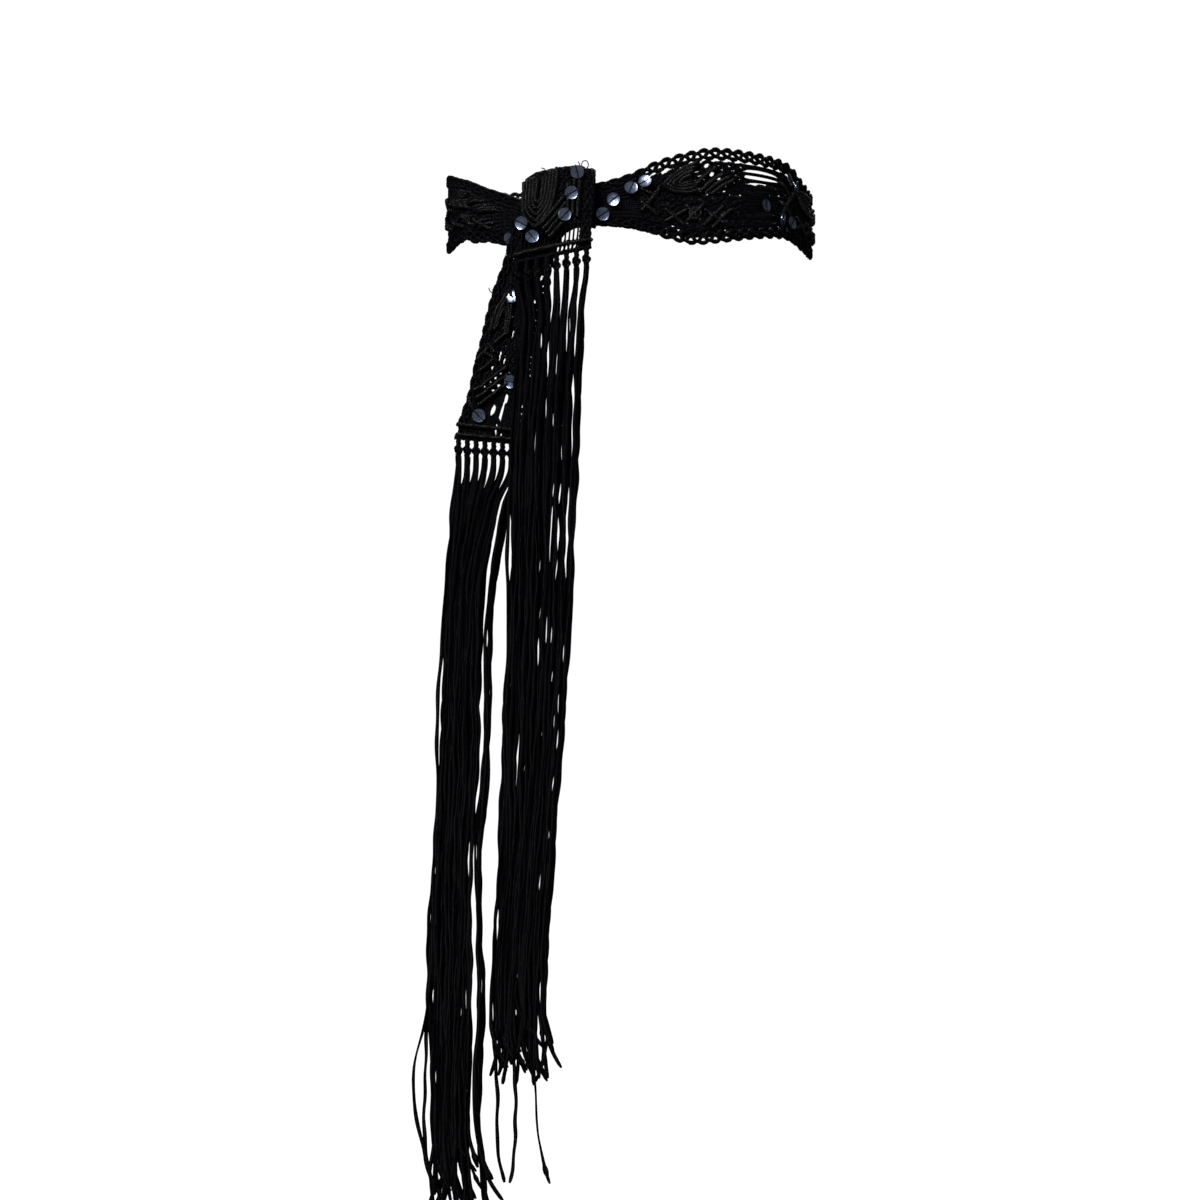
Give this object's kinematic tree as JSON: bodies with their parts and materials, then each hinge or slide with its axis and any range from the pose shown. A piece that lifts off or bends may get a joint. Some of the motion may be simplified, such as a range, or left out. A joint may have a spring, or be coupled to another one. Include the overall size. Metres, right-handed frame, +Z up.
{
  "type": "macrame fringe belt",
  "caption": "Openwork sash belt of knotted black rayon cord, tied round a waist with a half knot at the front, its hanging ends finished with long braided fringe.",
  "frame": {"origin": "middle of the waist that the belt goes round, at the height where it sits", "axes": "+Z up, along the length of the hanging fringe; the front with the knot faces -Y; +X is to the right seen from the front"},
  "size_m": [0.262, 0.2101, 0.7216],
  "materials": {
    "knotted_cord": "satin black braided rayon cord",
    "fringe_tape": "satin black flat braided rayon tape",
    "paillette": "flat round paillette with a blue-grey mirror coat"
  },
  "bodies": {
    "root": {"band_right": "knotted_cord", "band_back": "knotted_cord", "band_left": "knotted_cord", "knot_pass": "knotted_cord", "tail": "knotted_cord", "flap": "knotted_cord", "fringe_flap": "fringe_tape", "fringe_tail": "fringe_tape"}
  },
  "joints": []
}
